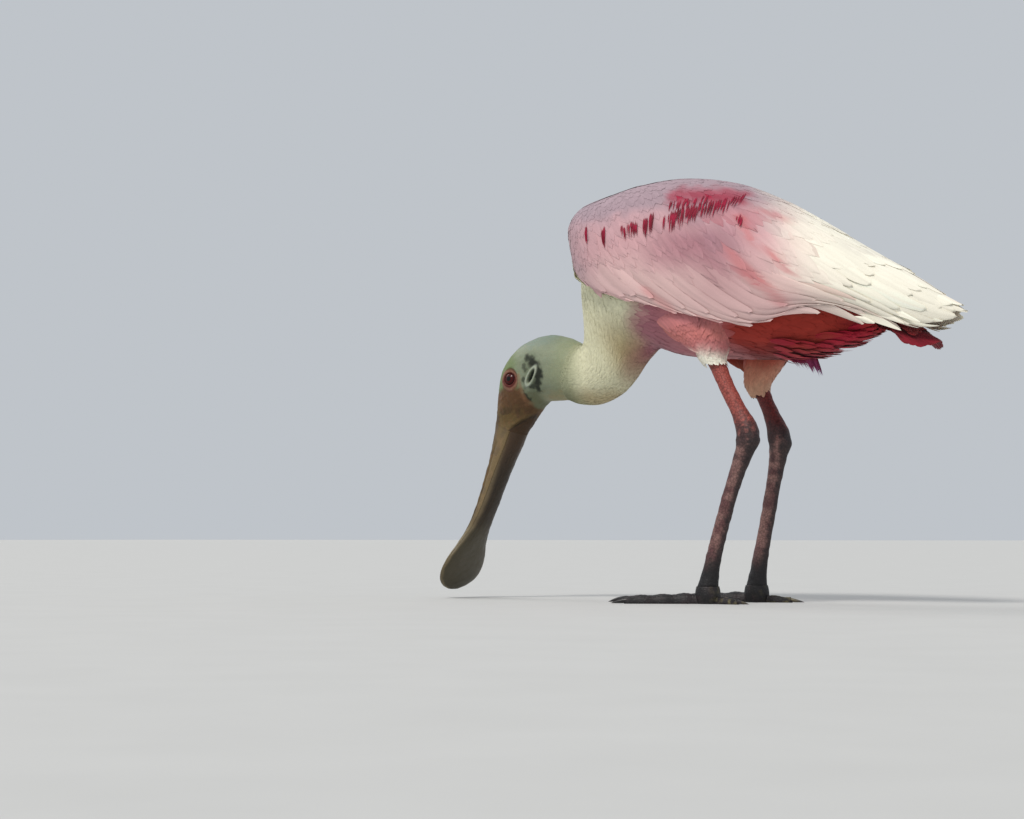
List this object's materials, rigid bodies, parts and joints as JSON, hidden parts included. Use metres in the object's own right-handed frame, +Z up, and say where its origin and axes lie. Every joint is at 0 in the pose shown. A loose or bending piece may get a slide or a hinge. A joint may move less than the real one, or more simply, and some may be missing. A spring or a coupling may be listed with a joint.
{
  "type": "roseate spoonbill, standing, head down",
  "caption": "Roseate spoonbill standing on both legs with its wings folded, its neck bent down and its spoon-shaped bill held near the floor.",
  "frame": {"origin": "on the floor, under the middle of the bird's bounding box", "axes": "+Z up from the floor, -X the way the bird faces, +X towards the tail, -Y the bird's left side"},
  "size_m": [0.4594, 0.137, 0.3271],
  "materials": {
    "pink_plumage": "matt feathers, dusty pink with carmine on the lesser coverts and cream at the rear",
    "red_plumage": "matt feathers, orange red to deep crimson",
    "white_plumage": "short matt feathers, creamy white",
    "bare_skin": "bare skin, greenish grey",
    "bill_horn": "horn, olive brown, satin",
    "leg_scales": "scaly skin, dull red to dark grey",
    "foot_scales": "scaly skin, near black",
    "eye": "clear over a red iris"
  },
  "bodies": {
    "root": {"torso": "red_plumage", "neck_lower": "white_plumage", "neck_upper": "white_plumage", "head": "bare_skin", "eye_l": "eye", "eye_r": "eye", "bill_upper": "bill_horn", "bill_lower": "bill_horn", "wing_l": "pink_plumage", "wing_r": "pink_plumage", "tail": "red_plumage", "thigh_l": "pink_plumage", "thigh_r": "pink_plumage", "shank_l": "leg_scales", "shank_r": "leg_scales", "tarsus_l": "leg_scales", "tarsus_r": "leg_scales", "foot_l": "foot_scales", "foot_r": "foot_scales"}
  },
  "joints": []
}
